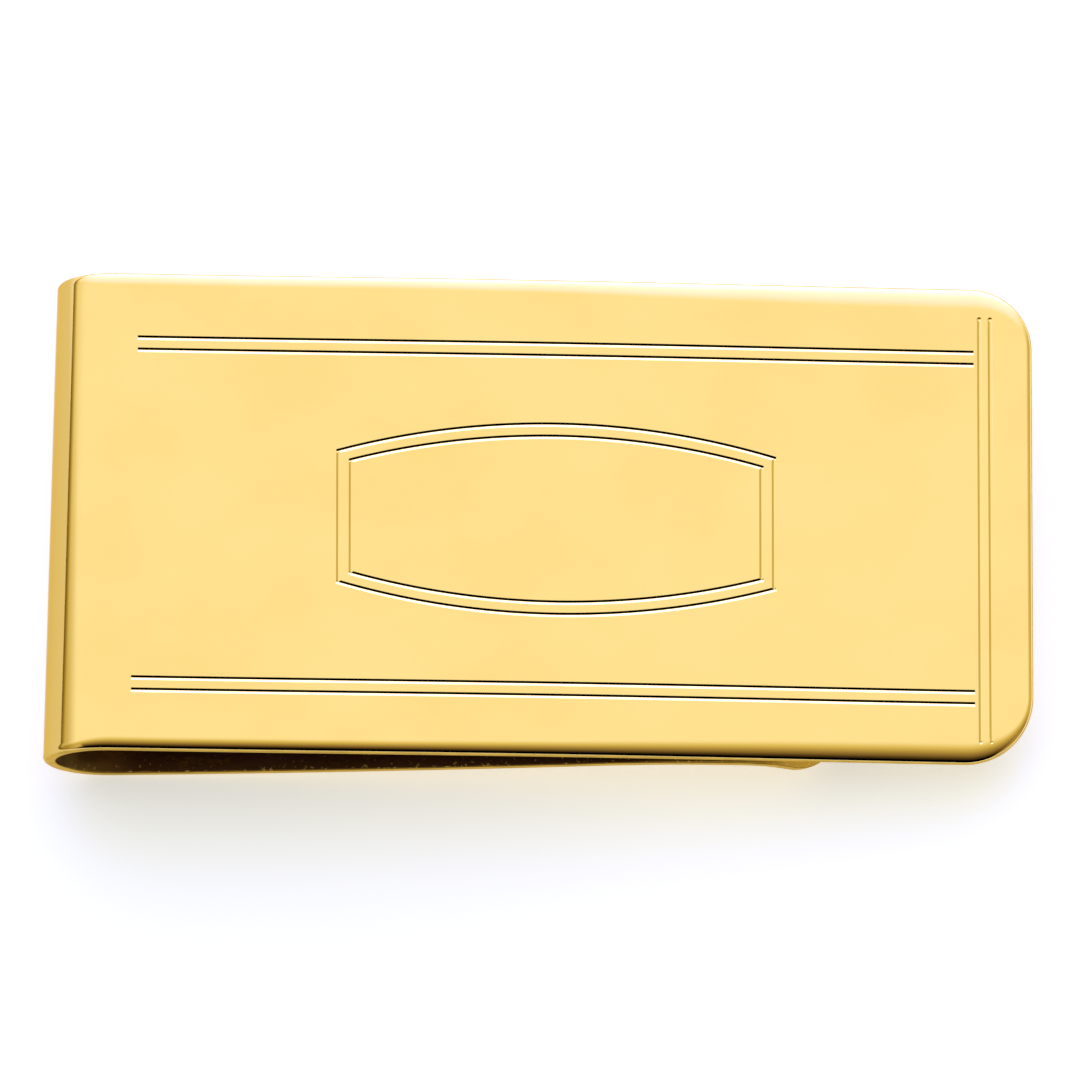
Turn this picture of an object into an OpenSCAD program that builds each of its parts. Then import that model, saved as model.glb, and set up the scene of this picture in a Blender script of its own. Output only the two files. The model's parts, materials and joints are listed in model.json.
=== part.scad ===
// One-piece spring money clip, folded from a strip: an engraved front plate, a U-shaped spine
// and a spring leaf that presses on the back of the plate and ends in a flared thumb lip.
// The clip lies on its back: it rests on the spine and on the edge of the lip.

/* [Overall] */
// Overall length, from the outside of the spine to the free end of the plate
clip_l = 50.8; // [42:0.1:62]
// Width of the strip
clip_w = 25.4; // [21:0.1:31]
// Corner radius at the free end of the plate
corner_r = 3.4; // [1:0.1:5]

/* [Strip] */
// Thickness of the strip
strip_t = 0.64; // [0.5:0.01:0.9]
// Thickness left at the outermost line of the spine, where bending thins the strip
spine_t = 0.6; // [0.45:0.01:0.9]
// Outer radius of the spine, half the depth of the clip
spine_r = 3.1; // [2.5:0.05:3.8]

/* [Spring leaf] */
// Radius of the gentle outward bow along the leaf
bow_r = 330; // [250:10:600]
// Radius of the curve that eases the leaf onto the plate
ease_r = 27; // [20:1:34]
// Clearance left at the line where the leaf presses on the plate
contact_gap = 0.1; // [0.05:0.01:0.2]
// Radius of the curve that turns the leaf away from the plate into the lip
lip_r = 4; // [3:0.5:8]
// Angle of the lip to the plate
lip_angle = 29; // [15:1:40]
// Length of the straight part of the lip
lip_l = 3.4; // [3.2:0.1:5]
// Corner radius of the lip
lip_corner_r = 2.9; // [1:0.1:5]
// Distance from the edge of the lip to the free end of the plate
lip_setback = 9.8; // [7:0.1:12]

/* [Engraving] */
// Width of an engraved line at the face
line_w = 0.24; // [0.15:0.01:0.35]
// Depth of an engraved line
line_depth = 0.07; // [0.04:0.01:0.1]
// Spacing of the two lines of a pair
line_pitch = 0.65; // [0.5:0.05:0.9]
// Distance from a long edge of the plate to the outer border line
border_inset = 3.3; // [2.5:0.1:4.5]
// Distance from the outside of the spine to the start of the border lines
border_start = 4.3; // [4:0.1:8]
// Distance from the free end of the plate to the outer cross line
cross_inset = 2.2; // [1.5:0.1:3.5]
// Spacing of the two cross lines
cross_pitch = 0.56; // [0.45:0.01:0.8]
// Distance from a long edge of the plate to the ends of the cross lines
cross_end_inset = 1.4; // [0.8:0.1:2.5]
// Distance from the inner cross line to the ends of the border lines
border_gap = 0.3; // [0.2:0.05:1]
// Length of the cartouche
cartouche_l = 22.6; // [18:0.1:27]
// Height of the cartouche at its two ends
cartouche_end_h = 7; // [5:0.1:9]
// Height that each bowed side of the cartouche adds at the middle
cartouche_bow = 1.58; // [1:0.02:2]

/* [Hidden] */
gold = [0.93, 0.76, 0.38];
$fn = 96;
cut = 1;                                     // how far a cutter runs past what it cuts

// Below, x runs from the outside of the spine to the free end and z is 0 on the plate's face.

// Spine: the outer and the inner surface are cylinders on different centres, so that the strip
// thins from the plate to its outermost line and thickens again to the leaf.
spine_c = [spine_r, -spine_r];
inner_r = spine_r - strip_t;
inner_c = [spine_t + inner_r, -spine_r];
root_x = max(spine_c.x, inner_c.x);          // where the plate and the leaf leave the spine

// Leaf: its centre line is an arc that leaves the spine, bows, eases onto the plate, and turns
// away from it. Each arc is tangent to the next, so the bow's centre is where two circles cross.
mid_r = spine_r - strip_t / 2;
lip_reach = (lip_r + strip_t / 2) * sin(lip_angle) + lip_l * cos(lip_angle);
contact_x = clip_l - lip_setback - lip_reach;
contact_z = -strip_t - contact_gap - strip_t / 2;
ease_c = [contact_x, contact_z - ease_r];
lip_c = [contact_x, contact_z - lip_r];
span = ease_c - spine_c;
span_l = norm(span);
to_spine = bow_r - mid_r;
to_ease = bow_r + ease_r;
along = (to_spine * to_spine - to_ease * to_ease + span_l * span_l) / (2 * span_l);
across = sqrt(to_spine * to_spine - along * along);
bow_c = spine_c + along * span / span_l + across * [-span.y, span.x] / span_l;
leave_a = heading(bow_c, spine_c);           // angle of the radius where the leaf leaves the spine
ease_a = heading(bow_c, ease_c);             // angle of the radius where the bow meets the ease

// Lip: its outer edge is one of the two lines that the clip rests on.
lip_start = lip_c + lip_r * [sin(lip_angle), cos(lip_angle)];
lip_end = lip_start + lip_l * [cos(lip_angle), -sin(lip_angle)];
foot = lip_end - strip_t / 2 * [sin(lip_angle), cos(lip_angle)];

// Rest: the clip is turned about Y until the spine and the lip's edge touch the same surface.
rest_tilt = heading(spine_c, foot) + asin(spine_r / norm(foot - spine_c));
spine_x = spine_c.x * cos(rest_tilt) + spine_c.y * sin(rest_tilt);
spine_z = spine_c.y * cos(rest_tilt) - spine_c.x * sin(rest_tilt);
mid_x = (spine_x - spine_r + clip_l * cos(rest_tilt)) / 2;

// Engraving
border_y = clip_w / 2 - border_inset;
cross_x = clip_l - cross_inset;
border_end = cross_x - cross_pitch - border_gap;
cross_y = clip_w / 2 - cross_end_inset;
cartouche_x = (border_start + border_end) / 2;
cartouche_r = (cartouche_l * cartouche_l / 4 + cartouche_bow * cartouche_bow) / (2 * cartouche_bow);
cartouche_c = cartouche_end_h / 2 + cartouche_bow - cartouche_r;

// Angle of the line from a to b
function heading(a, b) = atan2(b.y - a.y, b.x - a.x);

// Stands the clip on the surface z = 0, centred on its own length and width
module seat() {
    translate([-mid_x, 0, spine_r - spine_z]) rotate([0, rest_tilt, 0]) children();
}

// Extrudes a side outline, drawn in x and z, over a width centred on y = 0
module across_width(w) {
    rotate([90, 0, 0]) linear_extrude(w, center = true) children();
}

// Points along an arc, each as [x, z, angle of its normal]; turn is 180 where the centre is below
function arc(centre, r, from, to, turn = 0, steps = 10) = [
    for (i = [0:steps]) let (a = from + (to - from) * i / steps)
        [centre.x + r * cos(a), centre.y + r * sin(a), a + turn]
];

// Side outline of a strip of thickness strip_t along a path of such points
module strip(path) {
    sides = [for (side = [1, -1]) [for (p = path) [p.x, p.y] + side * strip_t / 2 * [cos(p.z), sin(p.z)]]];
    last = len(path) - 1;
    polygon(concat(sides[0], [for (i = [last:-1:0]) sides[1][i]]));
}

// The spine as a full tube with the two tails that run on to the plate and the leaf
module spine_tube() {
    difference() {
        union() {
            translate([spine_c.x, 0, spine_c.y]) rotate([90, 0, 0])
                cylinder(r = spine_r, h = clip_w, center = true);
            translate([spine_c.x, -clip_w / 2, -2 * spine_r])
                cube([root_x - spine_c.x + cut, clip_w, 2 * spine_r]);
        }
        translate([inner_c.x, 0, inner_c.y]) rotate([90, 0, 0])
            cylinder(r = inner_r, h = clip_w + 2 * cut, center = true);
        translate([inner_c.x, -clip_w / 2 - cut, -spine_r - inner_r])
            cube([spine_r + 2 * cut, clip_w + 2 * cut, 2 * inner_r]);
        translate([root_x, -clip_w / 2 - cut, -2 * spine_r - cut])
            cube([spine_r + 2 * cut, clip_w + 2 * cut, 2 * spine_r + 2 * cut]);
    }
}

// One half of the spine, above or below its outermost line
module spine_half(upper) {
    intersection() {
        spine_tube();
        translate([-cut, -clip_w / 2 - cut, upper ? spine_c.y : spine_c.y - spine_r - cut])
            cube([root_x + 2 * cut, clip_w + 2 * cut, spine_r + cut]);
    }
}

// One engraved line between two points of the face, with square ends past both
module line(a, b) {
    translate([a.x, a.y, -line_depth]) rotate([0, 0, heading(a, b)]) translate([-line_w / 2, -line_w / 2])
        cube([norm(b - a) + line_w, line_w, line_depth + cut]);
}

// One ring of the cartouche, inset from its outline: two straight ends and two bowed sides,
// which share their centres with the outline's
module cartouche_ring(inset) {
    r = cartouche_r - inset;
    half_l = cartouche_l / 2 - inset;
    half_a = asin(half_l / r);
    half_h = cartouche_c + r * cos(half_a);
    for (side = [-1, 1]) translate([cartouche_x, 0, 0]) {
        line([side * half_l, -half_h], [side * half_l, half_h]);
        rotate([0, 0, side < 0 ? 180 : 0]) translate([0, cartouche_c, 0]) rotate([0, 0, 90 - half_a])
            rotate_extrude(angle = 2 * half_a) translate([r - line_w / 2, -line_depth])
                square([line_w, line_depth + cut]);
    }
}

module engraving() {
    for (inset = [0, line_pitch]) {
        cartouche_ring(inset);
        for (side = [-1, 1])
            line([border_start, side * (border_y - inset)], [border_end, side * (border_y - inset)]);
    }
    for (x = [cross_x, cross_x - cross_pitch]) line([x, -cross_y], [x, cross_y]);
}

// Flat outline in x and y with square corners at x = from and round ones at x = to
module round_ended(from, to, r) {
    translate([from, -clip_w / 2]) square([to - from - r, clip_w]);
    translate([from, -clip_w / 2 + r]) square([to - from, clip_w - 2 * r]);
    for (side = [-1, 1]) translate([to - r, side * (clip_w / 2 - r)]) circle(r);
}

module front_plate() {
    color(gold) seat() difference() {
        translate([0, 0, -strip_t]) linear_extrude(strip_t) round_ended(root_x, clip_l, corner_r);
        engraving();
    }
}

module spine_upper() {
    color(gold) seat() spine_half(true);
}

module spine_lower() {
    color(gold) seat() spine_half(false);
}

module spring_leaf() {
    color(gold) seat() across_width(clip_w) strip(concat(
        arc(spine_c, mid_r, -90, leave_a, steps = 3),
        arc(bow_c, bow_r, leave_a, ease_a),
        arc(ease_c, ease_r, 180 + ease_a, 90, turn = 180)
    ));
}

// The outline that rounds the corners ends just past the lip, so the lip's own end stays square to it
module thumb_lip() {
    color(gold) seat() intersection() {
        across_width(clip_w) strip(concat(
            arc(lip_c, lip_r, 90, 90 - lip_angle, turn = 180),
            [[lip_end.x, lip_end.y, 270 - lip_angle]]
        ));
        translate([0, 0, -2 * spine_r]) linear_extrude(2 * spine_r)
            round_ended(contact_x, clip_l - lip_setback + strip_t / 4, lip_corner_r);
    }
}

front_plate();
spine_upper();
spine_lower();
spring_leaf();
thumb_lip();
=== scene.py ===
"""A one-piece spring money clip in polished gold plate, lying face up on a pale studio floor.

The strip is built in the plate's own axes, in millimetres: x from the outermost line of the spine to the
free end, y across the width, z out of the face with 0 on it. place() puts a point where the CAD frame is.
"""
import json
import math

import bmesh
import bpy
from mathutils import Matrix, Vector


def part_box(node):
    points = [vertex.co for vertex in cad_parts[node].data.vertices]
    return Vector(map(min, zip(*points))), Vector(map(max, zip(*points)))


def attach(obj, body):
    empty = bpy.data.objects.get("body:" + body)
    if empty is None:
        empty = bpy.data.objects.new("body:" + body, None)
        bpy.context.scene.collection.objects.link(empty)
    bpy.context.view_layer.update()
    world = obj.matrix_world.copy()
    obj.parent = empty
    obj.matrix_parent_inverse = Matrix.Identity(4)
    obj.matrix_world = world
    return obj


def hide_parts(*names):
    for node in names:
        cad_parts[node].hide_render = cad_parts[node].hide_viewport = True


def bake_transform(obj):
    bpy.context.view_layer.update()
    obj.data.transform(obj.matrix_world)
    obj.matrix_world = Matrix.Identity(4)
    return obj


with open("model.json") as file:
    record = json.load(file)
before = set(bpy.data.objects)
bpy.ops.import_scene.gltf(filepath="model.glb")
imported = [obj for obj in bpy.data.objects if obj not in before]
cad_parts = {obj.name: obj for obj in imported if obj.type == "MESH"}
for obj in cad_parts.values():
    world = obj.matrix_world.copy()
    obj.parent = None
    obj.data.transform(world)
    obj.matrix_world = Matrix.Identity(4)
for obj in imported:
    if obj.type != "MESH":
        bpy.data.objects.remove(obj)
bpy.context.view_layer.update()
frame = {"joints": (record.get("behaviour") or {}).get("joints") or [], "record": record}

# ---------------------------------------------------------------- sizes, in mm unless they say otherwise

MM = 0.001
STRIP_T = 0.64           # thickness of the strip
SPINE_T = 0.6            # thickness left at the outermost line of the spine
BOW_R = 330.0            # gentle bow of the leaf
EASE_R = 27.0            # curve that eases the leaf onto the plate
LIP_R = 4.0              # curve that turns the leaf into the lip
LIP_ANGLE = math.radians(29)
LIP_L = 3.4              # straight part of the lip
LIP_SETBACK = 9.8        # from the edge of the lip to the free end of the plate
CONTACT_GAP = 0.1        # clearance where the leaf presses on the plate
FRONT_CORNER_R = 3.6     # corners of the plate's free end, seen from above: fitted to its outline
BACK_CORNER_R = 3.2
LIP_CORNER_R = 2.9       # corners of the lip, seen from above
SKEW = 0.31              # how far the spine's outline leans out at the front edge and in at the back
FLARE = 0.10             # how much further out the spine's ends stand than its middle
FLARE_IN = 0.6           # share of that by which the middle stands in
CROWN = 0.25             # how far the middle of the plate stands above its ends
LEAF_DRIFT = 0.08        # how far the leaf stands past the plate's front edge where it presses
DRIFT_L = 8.0            # and the length of leaf over which it does

# Rounding of each outer edge, fitted to how it catches the light: width of a slope down from the face, then
# the radius of the turn down the side
ROUND_SPINE = (0.62, 0.22)
ROUND_FREE = (1.15, 0.24)
ROUND_END = (0.15, 0.33)
ROUND_LEAF = (0.06, 0.26)
WORN_FROM, WORN_L = 16.0, 30.0  # the plate's stretch where ROUND_SPINE turns into ROUND_FREE: start, length
SLOPE_END = math.radians(21)    # steepness of the slope where the turn starts
# past this angle a rounding takes the edge material: rougher, and darker by a painted shade
POLISH_AND_SHADE_END = math.radians(58)  # and of the turn where the face's high polish ends
BURR_R = 0.05            # the small rounding left on every inner edge
SUPPORT = 0.06           # width of the loop that keeps the flats flat beside a rounding

LINE_W = 0.23            # engraved lines: a shallow V with a narrow flat at the bottom
LINE_DEPTH = 0.052
TIP_W = 0.008
LINE_PITCH = 0.65
BORDER_INSET = 3.3
BORDER_START = 4.3
CROSS_INSET = 2.2
CROSS_PITCH = 0.56
CROSS_END_INSET = 1.4
BORDER_GAP = 0.3
CARTOUCHE_L = 22.6
CARTOUCHE_END_H = 7.0
CARTOUCHE_BOW = 1.58
ENGRAVING_SHIFT = -0.2   # the engraving sits a little towards the front edge
CROSS_SHIFT = -0.31      # and the cross lines a little more
START_LEAN = 0.14        # the border lines start on a slant, like the spine's
PLUNGE_R = 0.13          # pit at each end of the cross lines
PLUNGE_DEPTH = 0.09
OVERRUN = 0.1            # how far the cartouche's bowed lines run past its ends

JOINT_X = 4.0            # where the plate piece meets the spine piece
LEAF_X = 5.0             # and the leaf piece does

# ---------------------------------------------------------------- the CAD frame

face = next(m for m in frame["record"]["mounts"] if m["name"] == "face")
NORMAL = Vector(face["axis"]).normalized()
ALONG = Vector((NORMAL.z, 0, -NORMAL.x))
PIVOT = Vector(frame["joints"][0]["pos_m"])
SPINE_R = (Vector(face["pos_m"]) - PIVOT).dot(NORMAL) / MM
ORIGIN = PIVOT + SPINE_R * MM * NORMAL
plate_low, plate_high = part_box("front_plate")
CLIP_W = (plate_high.y - plate_low.y) / MM
CLIP_L = (plate_high.x - ORIGIN.x) / NORMAL.z / MM


def place(x, y, z):
    """A point of the strip's own axes, in the row frame, in metres."""
    return ORIGIN + MM * (x * ALONG + z * NORMAL) + Vector((0, y * MM, 0))


def crowned(x, y, z):
    """A point of the plate, raised by its crown, which starts and ends level."""
    return place(x, y, z + CROWN * math.sin(math.pi * (x - JOINT_X) / (CLIP_L - JOINT_X)) ** 2)


# ---------------------------------------------------------------- the strip's side view


def polar(centre, r, a):
    return Vector((centre[0] + r * math.cos(a), centre[1] + r * math.sin(a)))


def smooth(t):
    t = min(max(t, 0.0), 1.0)
    return t * t * (3 - 2 * t)


def steps(a, b, n):
    return [a + (b - a) * i / n for i in range(n + 1)]


class Station:
    """One cross-section: a point on the outer surface, the direction into the strip, and its sizes."""

    def __init__(self, point, inward, t, rounding, half_w=CLIP_W / 2):
        self.point, self.inward = point, inward
        self.t, self.rounding, self.half_w = t, rounding, half_w

    def at(self, y, depth):
        p = self.point + depth * self.inward
        across = y / (CLIP_W / 2)
        lean = (SKEW * across + FLARE * (FLARE_IN - across**2)) * max(1 - p.x / JOINT_X, 0)
        drift = LEAF_DRIFT * smooth((p.x - contact_x) / DRIFT_L + 1) if p.y < -STRIP_T else 0
        return place(p.x + lean, y - drift, p.y)


spine_c = Vector((SPINE_R, -SPINE_R))
mid_r = SPINE_R - STRIP_T / 2
lip_reach = (LIP_R + STRIP_T / 2) * math.sin(LIP_ANGLE) + LIP_L * math.cos(LIP_ANGLE)
contact_x = CLIP_L - LIP_SETBACK - lip_reach
contact_z = -STRIP_T - CONTACT_GAP - STRIP_T / 2
ease_c = Vector((contact_x, contact_z - EASE_R))
lip_c = Vector((contact_x, contact_z - LIP_R))


def bow_centre():
    """Centre of the bow, which is tangent to the spine's arc inside and to the ease's arc outside."""
    span = ease_c - spine_c
    to_spine, to_ease = BOW_R - mid_r, BOW_R + EASE_R
    along = (to_spine**2 - to_ease**2 + span.length_squared) / (2 * span.length)
    across = math.sqrt(to_spine**2 - along**2)
    unit = span.normalized()
    return spine_c + along * unit + across * Vector((-unit.y, unit.x))


bow_c = bow_centre()


def heading(a, b):
    return math.atan2(b.y - a.y, b.x - a.x)


leave_a = heading(bow_c, spine_c)
ease_a = heading(bow_c, ease_c)


def mix(a, b, share):
    return tuple(p + (q - p) * share for p, q in zip(a, b))


def spine_stations():
    """From the plate's flat, round the spine, to the start of the leaf; and the bow's angle there."""
    out = []
    for x in steps(JOINT_X, SPINE_R, 4)[:-1]:
        out.append(Station(Vector((x, 0)), Vector((0, -1)), STRIP_T, ROUND_SPINE))
    for a in steps(math.pi / 2, math.pi * 1.5, 72):
        end = ROUND_SPINE if a < math.pi else ROUND_LEAF
        share = abs(math.sin(a)) ** 3
        t = SPINE_T + (STRIP_T - SPINE_T) * share
        rounding = mix(ROUND_LEAF, end, share)
        out.append(Station(polar(spine_c, SPINE_R, a), polar((0, 0), -1, a), t, rounding))
    for a in steps(-math.pi / 2, leave_a, 5)[1:]:
        out.append(Station(polar(spine_c, SPINE_R, a), polar((0, 0), -1, a), STRIP_T, ROUND_LEAF))
    joint_a = leave_a + (LEAF_X - SPINE_R) / BOW_R
    for a in steps(leave_a, joint_a, 4)[1:]:
        out.append(bow_station(a))
    return out, joint_a


def bow_station(a):
    return Station(polar(bow_c, BOW_R + STRIP_T / 2, a), polar((0, 0), -1, a), STRIP_T, ROUND_LEAF)


def far_station(centre, r, a):
    """A station on an arc whose centre is on the outer side of the strip."""
    return Station(polar(centre, r - STRIP_T / 2, a), polar((0, 0), 1, a), STRIP_T, ROUND_LEAF)


def leaf_stations(joint_a):
    out = [bow_station(a) for a in steps(joint_a, ease_a, 40)]
    out += [far_station(ease_c, EASE_R, a) for a in steps(math.pi + ease_a, math.pi / 2, 24)[1:]]
    return out


def lip_stations():
    """From the contact line to the tip, narrowing along the round corners."""
    out = [far_station(lip_c, LIP_R, a) for a in steps(math.pi / 2, math.pi / 2 - LIP_ANGLE, 28)]
    last = out[-1]
    direction = Vector((math.cos(LIP_ANGLE), -math.sin(LIP_ANGLE)))
    for a in steps(0, math.pi / 2, 60)[1:]:
        d = LIP_L * math.sin(a)
        before_corner = max(LIP_CORNER_R - (LIP_L - d), 0)
        drop = LIP_CORNER_R - math.sqrt(max(LIP_CORNER_R**2 - before_corner**2, 0))
        out.append(Station(last.point + d * direction, last.inward, STRIP_T, ROUND_LEAF, CLIP_W / 2 - drop))
    return out


# ---------------------------------------------------------------- mesh building

SLOPE_STEPS, TURN_STEPS = 6, 8
OUTSIDE, INSIDE, EDGE = 0, 1, 2           # material slots


def half_profile(t, rounding):
    """The side of a cross-section from the outer face round to the inner face, as (inset, depth, material
    of the face before the point)."""
    slope_w, turn_r = rounding
    slope_r = slope_w / math.sin(SLOPE_END)
    wide = slope_w + turn_r * (1 - math.sin(SLOPE_END))
    drop = (slope_r - turn_r) * (1 - math.cos(SLOPE_END))
    deep = drop + turn_r
    points = [(wide + SUPPORT, 0.0, OUTSIDE), (wide, 0.0, OUTSIDE)]
    for a in steps(0, SLOPE_END, SLOPE_STEPS)[1:]:
        points.append((wide - slope_r * math.sin(a), slope_r * (1 - math.cos(a)), OUTSIDE))
    for a in steps(SLOPE_END, math.pi / 2, TURN_STEPS)[1:]:
        # the edge material past this angle is rougher and carries a painted shade
        material = OUTSIDE if a < POLISH_AND_SHADE_END else EDGE
        points.append((turn_r * (1 - math.sin(a)), deep - turn_r * math.cos(a), material))
    points.append((0.0, deep + SUPPORT / 2, EDGE))
    points.append((0.0, t - BURR_R - SUPPORT / 2, EDGE))
    for a in steps(0, math.pi / 2, 3):
        points.append((BURR_R * (1 - math.cos(a)), t - BURR_R * (1 - math.sin(a)), EDGE))
    points.append((BURR_R + SUPPORT, t, INSIDE))
    return points


def ring(station):
    """One closed cross-section, as points in the row frame, and the material before each point."""
    side = half_profile(station.t, station.rounding)
    right = [(station.half_w - inset, depth, m) for inset, depth, m in side]
    materials = [m for _, _, m in right]
    left = [(-y, depth, m) for (y, depth, _), m in zip(reversed(right), [INSIDE] + materials[:0:-1])]
    loop = right + left
    return [station.at(y, depth) for y, depth, _ in loop], [m for _, _, m in loop]


def finish_mesh(bm, name):
    bmesh.ops.recalc_face_normals(bm, faces=bm.faces)
    mesh = bpy.data.meshes.new(name)
    for f in bm.faces:
        f.smooth = True
    bm.to_mesh(mesh)
    bm.free()
    obj = bpy.data.objects.new(name, mesh)
    bpy.context.scene.collection.objects.link(obj)
    return obj


def sweep(name, stations, cap_end=False):
    bm = bmesh.new()
    rings = []
    for s in stations:
        points, materials = ring(s)
        rings.append([bm.verts.new(p) for p in points])
    count = len(materials)
    for a, b in zip(rings, rings[1:]):
        for i in range(count):
            f = bm.faces.new((a[i - 1], a[i], b[i], b[i - 1]))
            f.material_index = materials[i]
    if cap_end:
        f = bm.faces.new(rings[-1])
        f.material_index = EDGE
    return finish_mesh(bm, name)


# ---------------------------------------------------------------- the front plate


def long_edge(x):
    """Rounding of the long edges at a distance along the plate: its slope is wider at the free end."""
    return mix(ROUND_SPINE, ROUND_FREE, smooth((x - WORN_FROM) / WORN_L))


def plate_side(r):
    """The plate's outline from the spine, along its front edge, to the middle of its free end: each point is
    (x, y, direction to the inside, edge rounding)."""
    corner_x = CLIP_L - r
    out = [(x, -CLIP_W / 2, (0, 1), long_edge(x)) for x in steps(JOINT_X, corner_x, 60)[:-1]]
    for a in steps(-math.pi / 2, 0, 24):
        rounding = mix(long_edge(corner_x), ROUND_END, smooth(1 + a / (math.pi / 2)))
        inside = (-math.cos(a), -math.sin(a))
        out.append((corner_x - r * inside[0], -CLIP_W / 2 + r - r * inside[1], inside, rounding))
    return out


def plate_outline():
    """The whole outline, from the spine round the free end and back."""
    back = plate_side(BACK_CORNER_R)
    mirrored = [(x, -y, (nx, -ny), r) for x, y, (nx, ny), r in reversed(back)]
    return plate_side(FRONT_CORNER_R) + mirrored


def plate_solid():
    bm = bmesh.new()
    columns = []
    materials = []
    for x, y, inside, edge in plate_outline():
        profile = half_profile(STRIP_T, edge)
        materials = [m for _, _, m in profile]
        column = []
        for inset, depth, _ in profile:
            column.append(bm.verts.new(crowned(x + inside[0] * inset, y + inside[1] * inset, -depth)))
        columns.append(column)
    for a, b in zip(columns, columns[1:]):
        for i in range(1, len(a)):
            f = bm.faces.new((a[i - 1], a[i], b[i], b[i - 1]))
            f.material_index = materials[i]
    half = len(columns) // 2
    front, back = columns[:half], columns[:half - 1:-1]
    for a, b, c, d in zip(front, front[1:], back, back[1:]):
        for row, material in ((0, OUTSIDE), (-1, INSIDE)):
            f = bm.faces.new((a[row], b[row], d[row], c[row]))
            f.material_index = material
    end = bm.faces.new(columns[0] + columns[-1][::-1])
    end.material_index = INSIDE
    return finish_mesh(bm, "engraved_plate")


def cutter_ring(bm, x, y, direction):
    """A V-shaped cross-section of a line's cutter, square to a direction in the face."""
    across = (-direction[1], direction[0])
    shape = [(-TIP_W, -LINE_DEPTH), (TIP_W, -LINE_DEPTH), (LINE_W, LINE_DEPTH), (-LINE_W, LINE_DEPTH)]
    return [bm.verts.new(crowned(x + o * across[0], y + o * across[1], z)) for o, z in shape]


def cutter(points):
    """The cutter of a line through points (x, y), as one closed solid."""
    bm = bmesh.new()
    rings = []
    for i, (x, y) in enumerate(points):
        before, after = points[max(i - 1, 0)], points[min(i + 1, len(points) - 1)]
        d = Vector((after[0] - before[0], after[1] - before[1])).normalized()
        rings.append(cutter_ring(bm, x, y, d))
    for a, b in zip(rings, rings[1:]):
        for i in range(len(a)):
            bm.faces.new((a[i - 1], a[i], b[i], b[i - 1]))
    bm.faces.new(rings[0])
    bm.faces.new(rings[-1])
    return finish_mesh(bm, "cutter")


def plunge(x, y):
    """The cutter of a pit: a cone with its tip down."""
    bm = bmesh.new()
    rim = [polar((x, y), 2 * PLUNGE_R, a) for a in steps(0, math.tau, 20)[:-1]]
    top = [bm.verts.new(crowned(p.x, p.y, PLUNGE_DEPTH)) for p in rim]
    tip = bm.verts.new(crowned(x, y, -PLUNGE_DEPTH))
    bm.faces.new(top)
    for i in range(len(top)):
        bm.faces.new((top[i - 1], top[i], tip))
    return finish_mesh(bm, "cutter")


def engraving_tools():
    """Every cutter of the engraving: two cross lines, four border lines and the cartouche's two rings."""
    tools = []
    cross_x = CLIP_L - CROSS_INSET
    border_end = cross_x - CROSS_PITCH - BORDER_GAP
    centre_x = (BORDER_START + border_end) / 2
    big_r = (CARTOUCHE_L**2 / 4 + CARTOUCHE_BOW**2) / (2 * CARTOUCHE_BOW)
    centre_y = CARTOUCHE_END_H / 2 + CARTOUCHE_BOW - big_r
    half_w = CLIP_W / 2 - CROSS_END_INSET
    for x in (cross_x, cross_x - CROSS_PITCH):
        tools.append(cutter([(x, CROSS_SHIFT - half_w), (x, CROSS_SHIFT + half_w)]))
        tools += [plunge(x, CROSS_SHIFT + side * half_w) for side in (-1, 1)]
    shift = ENGRAVING_SHIFT
    for inset in (0, LINE_PITCH):
        y = CLIP_W / 2 - BORDER_INSET - inset
        r = big_r - inset
        half_l = CARTOUCHE_L / 2 - inset
        half_a = math.asin(half_l / r)
        half_h = centre_y + r * math.cos(half_a)
        for side in (-1, 1):
            end_x = centre_x + side * half_l
            start_x = BORDER_START + START_LEAN * (side - 1)
            tools.append(cutter([(x, shift + side * y) for x in steps(start_x, border_end, 60)]))
            tools.append(cutter([(end_x, shift - half_h), (end_x, shift + half_h)]))
            bowed = []
            for a in steps(-half_a - OVERRUN / r, half_a + OVERRUN / r, 64):
                bowed.append((centre_x + r * math.sin(a), shift + side * (centre_y + r * math.cos(a))))
            tools.append(cutter(bowed))
    return tools


def engrave(plate):
    """Cuts every engraved line into the plate's face."""
    for tool in engraving_tools():
        cut = plate.modifiers.new("cut", "BOOLEAN")
        cut.operation = "DIFFERENCE"
        cut.solver = "EXACT"
        cut.object = tool
        depsgraph = bpy.context.evaluated_depsgraph_get()
        mesh = bpy.data.meshes.new_from_object(plate.evaluated_get(depsgraph))
        plate.modifiers.clear()
        plate.data = mesh
        bpy.data.objects.remove(tool)
    plate.data.set_sharp_from_angle(angle=math.radians(20))


# ---------------------------------------------------------------- materials


def node_material(name):
    material = bpy.data.materials.new(name)
    material.use_nodes = True
    tree = material.node_tree
    return material, tree, tree.nodes["Principled BSDF"]


def noise(tree, coords, scale, detail=3.0, stretch=(1, 1, 1)):
    mapping = tree.nodes.new("ShaderNodeMapping")
    mapping.inputs["Scale"].default_value = stretch
    tree.links.new(coords, mapping.inputs["Vector"])
    texture = tree.nodes.new("ShaderNodeTexNoise")
    texture.inputs["Scale"].default_value = scale
    texture.inputs["Detail"].default_value = detail
    tree.links.new(mapping.outputs["Vector"], texture.inputs["Vector"])
    return texture.outputs["Fac"]


def ramp(tree, value, stops):
    node = tree.nodes.new("ShaderNodeValToRGB")
    elements = node.color_ramp.elements
    while len(elements) < len(stops):
        elements.new(0.5)
    for element, (position, colour) in zip(elements, stops):
        element.position = position
        element.color = (*colour, 1)
    tree.links.new(value, node.inputs["Fac"])
    return node.outputs["Color"]


def span(tree, value, low, high, to_low, to_high):
    node = tree.nodes.new("ShaderNodeMapRange")
    for key, number in (("From Min", low), ("From Max", high), ("To Min", to_low), ("To Max", to_high)):
        node.inputs[key].default_value = number
    tree.links.new(value, node.inputs["Value"])
    return node.outputs["Result"]


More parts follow.
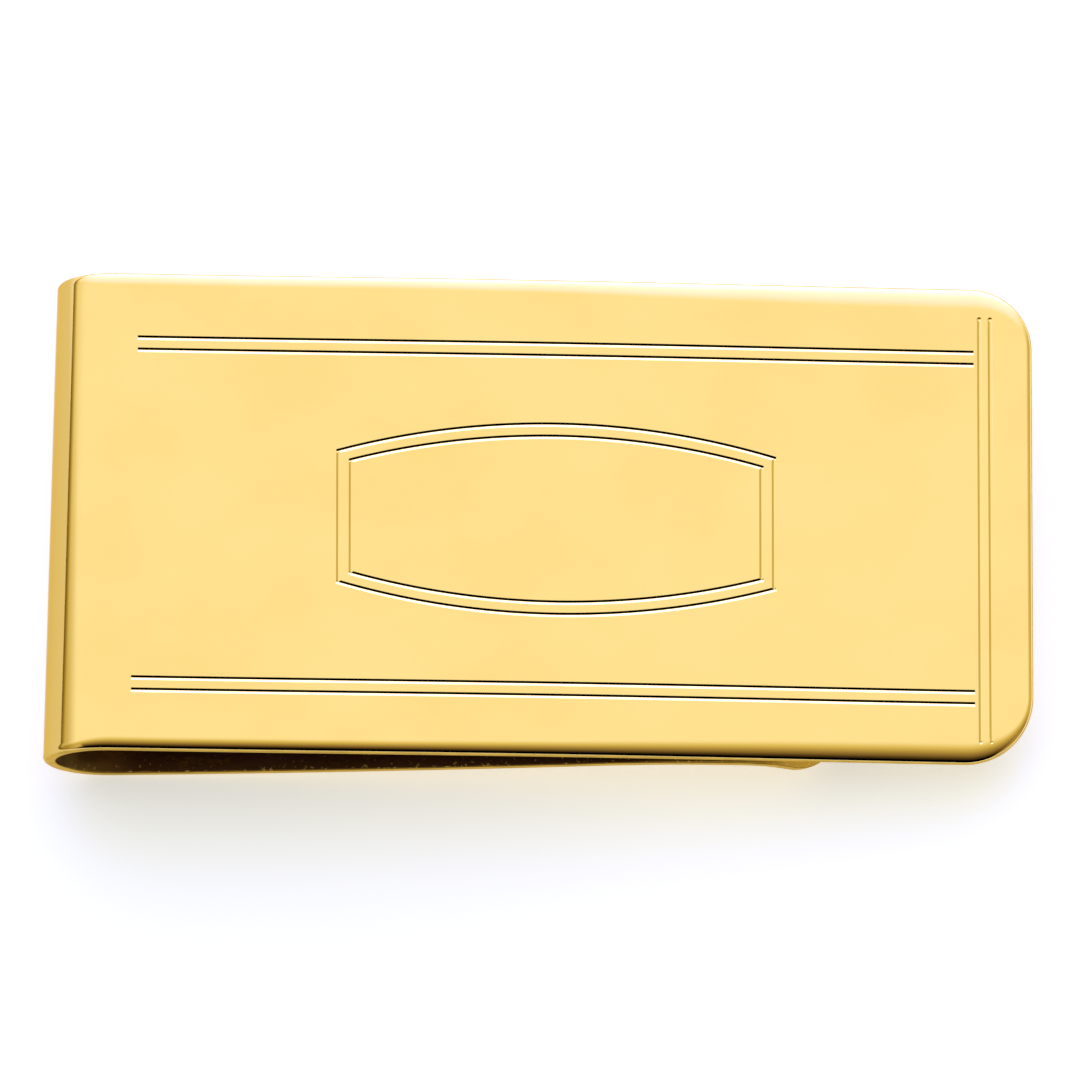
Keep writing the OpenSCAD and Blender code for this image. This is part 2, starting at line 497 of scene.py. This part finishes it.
def blend_colour(tree, share, colour, other):
    """A colour that turns into another, fixed one as the share goes from 0 to 1."""
    node = tree.nodes.new("ShaderNodeMix")
    node.data_type = "RGBA"
    tree.links.new(share, node.inputs["Factor"])
    tree.links.new(colour, node.inputs["A"])
    node.inputs["B"].default_value = (*other, 1)
    return node.outputs["Result"]


def bump(tree, height, distance, normal=None):
    node = tree.nodes.new("ShaderNodeBump")
    node.inputs["Strength"].default_value = 1.0
    node.inputs["Distance"].default_value = distance
    tree.links.new(height, node.inputs["Height"])
    if normal:
        tree.links.new(normal, node.inputs["Normal"])
    return node.outputs["Normal"]


GOLD = (0.97, 0.72, 0.262)
GOLD_WARM = (0.96, 0.70, 0.245)
GOLD_PALE = (0.98, 0.735, 0.278)
# painted shade: a darker gold over the spine's outermost line, standing for the shadowed floor it reflects
GOLD_BEND_SHADE = (0.69, 0.47, 0.115)     # over the outermost line of the bend
# painted light: a lighter gold on the inside of the lip, out from the shade under the plate
GOLD_LIP_LIT = (0.82, 0.63, 0.2)        # inside the lip
# painted light: a lighter gold where light reaches the inside of the bend
GOLD_HOLLOW_LIT = (0.75, 0.5, 0.16)     # inside the bend
GRAZING = (0.92, 0.76, 0.45, 1)     # tint of gold where it is seen edge on


def polished_gold():
    """Mirror gold: faint polishing waves, cloudy colour, hairlines along the strip, and a painted shade over
    the spine's outermost line.
    """
    material, tree, shader = node_material("polished_gold")
    coords = tree.nodes.new("ShaderNodeTexCoord").outputs["Object"]
    clouds = noise(tree, coords, 150, 2.0, (1, 1.3, 1))
    shader.inputs["Metallic"].default_value = 1.0
    shader.inputs["Specular Tint"].default_value = GRAZING
    colour = ramp(tree, clouds, [(0.35, GOLD_WARM), (0.5, GOLD), (0.68, GOLD_PALE)])
    along = tree.nodes.new("ShaderNodeSeparateXYZ")
    tree.links.new(coords, along.inputs["Vector"])
    # share of the painted shade over the spine's outermost line
    bend_shading = span(tree, along.outputs["X"], place(0.7, 0, 0).x, place(1.2, 0, 0).x, 1.0, 0.0)
    tree.links.new(blend_colour(tree, bend_shading, colour, GOLD_BEND_SHADE), shader.inputs["Base Color"])
    smears = noise(tree, coords, 420, 4.0, (0.35, 1, 1))
    tree.links.new(span(tree, smears, 0.3, 0.75, 0.035, 0.085), shader.inputs["Roughness"])
    waves = noise(tree, coords, 70, 1.0)
    hairlines = noise(tree, coords, 9000, 2.0, (0.03, 1, 1))
    wavy = bump(tree, waves, 0.00001)
    tree.links.new(bump(tree, hairlines, 0.0000004, wavy), shader.inputs["Normal"])
    return material


def inner_gold():
    """The inside, taken to be unpolished rolled brass with bright scuffs: its dark brown is partly its own
    tone and partly painted shade under the plate, and its lighter gold in the bend and the lip is painted
    light.
    """
    material, tree, shader = node_material("inner_gold")
    coords = tree.nodes.new("ShaderNodeTexCoord").outputs["Object"]
    patches = noise(tree, coords, 900, 6.0, (0.5, 1.6, 1))
    shader.inputs["Metallic"].default_value = 1.0
    shader.inputs["Specular Tint"].default_value = GRAZING
    # dark brown patches: partly the unpolished inside's own tone, partly painted shade where the inside lies
    # under the plate
    shaded_brown = [(0.42, (0.17, 0.085, 0.06)), (0.6, (0.24, 0.12, 0.065)), (0.74, (0.7, 0.45, 0.14))]
    along = tree.nodes.new("ShaderNodeSeparateXYZ")
    tree.links.new(coords, along.inputs["Vector"])
    # share of the painted light inside the bend
    bend_shading = span(tree, along.outputs["X"], place(0.8, 0, 0).x, place(4.2, 0, 0).x, 0.75, 0.0)
    # share of the painted light inside the lip
    lip = span(tree, along.outputs["X"], place(contact_x - 6, 0, 0).x, place(contact_x, 0, 0).x, 0.0, 0.9)
    colour = blend_colour(tree, bend_shading, ramp(tree, patches, shaded_brown), GOLD_HOLLOW_LIT)
    colour = blend_colour(tree, lip, colour, GOLD_LIP_LIT)
    front_edge = -CLIP_W / 2
    rim = span(tree, along.outputs["Y"], front_edge * MM, (front_edge + 1) * MM, 0.13, 0.0)
    nicks = tree.nodes.new("ShaderNodeMath")
    nicks.operation = "ADD"
    tree.links.new(noise(tree, coords, 5200, 2.0), nicks.inputs[0])
    tree.links.new(rim, nicks.inputs[1])
    worn = span(tree, nicks.outputs[0], 0.72, 0.8, 0.0, 1.0)
    tree.links.new(blend_colour(tree, worn, colour, GOLD_PALE), shader.inputs["Base Color"])
    tree.links.new(span(tree, patches, 0.3, 0.75, 0.5, 0.26), shader.inputs["Roughness"])
    rolling = noise(tree, coords, 5000, 3.0, (0.05, 1, 1))
    tree.links.new(bump(tree, rolling, 0.000003), shader.inputs["Normal"])
    return material


def edge_gold():
    """The cut edge of the strip: rougher than the face, and darker in colour, a painted shade standing for
    the shadowed floor it reflects.
    """
    material, tree, shader = node_material("edge_gold")
    coords = tree.nodes.new("ShaderNodeTexCoord").outputs["Object"]
    grain = noise(tree, coords, 2500, 4.0, (0.3, 1, 1))
    shader.inputs["Metallic"].default_value = 1.0
    shader.inputs["Specular Tint"].default_value = GRAZING
    # darker gold: painted shade standing for the shadowed floor the edge reflects
    colour = ramp(tree, grain, [(0.35, (0.48, 0.32, 0.06)), (0.65, (0.66, 0.44, 0.085))])
    tree.links.new(colour, shader.inputs["Base Color"])
    tree.links.new(span(tree, grain, 0.3, 0.7, 0.1, 0.2), shader.inputs["Roughness"])
    tree.links.new(bump(tree, grain, 0.0000025), shader.inputs["Normal"])
    return material


def floor_white():
    material, tree, shader = node_material("floor_white")
    coords = tree.nodes.new("ShaderNodeTexCoord").outputs["Object"]
    tooth = noise(tree, coords, 40, 3.0)
    colour = ramp(tree, tooth, [(0.3, (0.72, 0.78, 0.89)), (0.7, (0.74, 0.80, 0.91))])
    tree.links.new(colour, shader.inputs["Base Color"])
    shader.inputs["Roughness"].default_value = 0.9
    shader.inputs["Specular IOR Level"].default_value = 0.1
    shader.inputs["Emission Color"].default_value = (1, 1, 1, 1)
    shader.inputs["Emission Strength"].default_value = 0.53
    return material


# ---------------------------------------------------------------- studio


def studio():
    """A light tent: white above, brightest and bluish behind, warm walls that darken towards the floor, and
    a black gap in the middle of the front. Its levels and tints are tuned to the gold's colours."""
    world = bpy.data.worlds.new("tent")
    bpy.context.scene.world = world
    world.use_nodes = True
    tree = world.node_tree
    background = tree.nodes["Background"]
    direction = tree.nodes.new("ShaderNodeTexCoord").outputs["Generated"]
    split = tree.nodes.new("ShaderNodeSeparateXYZ")
    tree.links.new(direction, split.inputs["Vector"])

    def soft(value, low, high, to_low, to_high):
        out = span(tree, value, low, high, to_low, to_high)
        out.node.interpolation_type = "SMOOTHSTEP"
        return out

    def math_node(operation, a, b):
        node = tree.nodes.new("ShaderNodeMath")
        node.operation = operation
        tree.links.new(a, node.inputs[0])
        tree.links.new(b, node.inputs[1])
        return node.outputs[0]

    x, y, z = split.outputs
    walls = math_node("ADD", soft(z, 0.0, 0.2, 0.22, 0.88), soft(z, 0.1, 0.6, 0.0, 0.16))
    end_wall = soft(x, 0.3, 0.85, 1.04, 0.64)
    corners = soft(math_node("MULTIPLY", x, x), 0.25, 0.45, 0.0, 0.6)
    front = math_node("MAXIMUM", soft(y, -0.56, 0.14, 0.0, 1.0), corners)
    back = math_node("ADD", soft(y, 0.28, 0.75, 0.0, 0.35), soft(y, 0.68, 0.95, 0.0, 1.3))
    far = soft(x, 0.3, 0.5, 0.0, 0.64)
    sides = math_node("MAXIMUM", math_node("MINIMUM", walls, end_wall), far)
    level = math_node("ADD", math_node("MULTIPLY", sides, front), back)
    tree.links.new(level, background.inputs["Strength"])
    warmth = [
        (0.0, (1, 0.65, 0.3)), (0.25, (1, 0.82, 0.34)), (0.4, (1, 0.91, 0.5)),
        (0.5, (1, 1, 1)), (0.53, (1, 1, 1)), (0.61, (1, 0.97, 1.6)), (0.8, (1, 1, 1.9)),
    ]
    tree.links.new(ramp(tree, span(tree, level, 0, 2, 0, 1), warmth), background.inputs["Color"])


def floor():
    bm = bmesh.new()
    bmesh.ops.create_circle(bm, cap_ends=True, radius=3.0, segments=96)
    obj = finish_mesh(bm, "floor")
    obj.data.materials.append(floor_white())


VIEW_TILT = math.radians(14.4)    # of the line of sight from upright, towards the front edge
LENS_MM = 800.0                   # long, so that the strip's sides stay parallel
SENSOR_MM = 36.0
VIEW_W = 55.89                    # width of the view at the plate
RAISED = 1.20                     # the face's centre stands this far above the middle of the view
ASIDE = 0.22                      # and this far to its right


def camera():
    data = bpy.data.cameras.new("camera")
    data.lens = LENS_MM
    data.sensor_width = SENSOR_MM
    obj = bpy.data.objects.new("camera", data)
    bpy.context.scene.collection.objects.link(obj)
    towards = Vector((0, -math.sin(VIEW_TILT), math.cos(VIEW_TILT)))
    right = Vector((1, 0, 0))
    up = towards.cross(right)
    distance = LENS_MM / SENSOR_MM * VIEW_W * MM
    aim = place(CLIP_L / 2, 0, 0) - RAISED * MM * up - ASIDE * MM * right
    eye = aim + distance * towards
    obj.matrix_world = Matrix(
        (
            (right.x, up.x, towards.x, eye.x),
            (right.y, up.y, towards.y, eye.y),
            (right.z, up.z, towards.z, eye.z),
            (0, 0, 0, 1),
        )
    )
    data.clip_start = 0.01
    data.clip_end = 50
    bpy.context.scene.camera = obj


# ---------------------------------------------------------------- putting it together


def dress(piece):
    for material in MATERIALS:
        piece.data.materials.append(material)
    return piece


camera()
studio()
floor()
MATERIALS = (polished_gold(), inner_gold(), edge_gold())     # for OUTSIDE, INSIDE and EDGE

plate = dress(plate_solid())
engrave(plate)
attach(plate, "plate")
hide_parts("front_plate")

around, joint_angle = spine_stations()
spine = dress(sweep("folded_spine", around))
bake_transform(spine)
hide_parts("spine_upper", "spine_lower")

leaf = dress(sweep("spring_leaf_strip", leaf_stations(joint_angle)))
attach(leaf, "leaf")
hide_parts("spring_leaf")

lip = dress(sweep("flared_lip", lip_stations(), cap_end=True))
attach(lip, "leaf")
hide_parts("thumb_lip")

scene = bpy.context.scene
scene.view_settings.view_transform = "Standard"
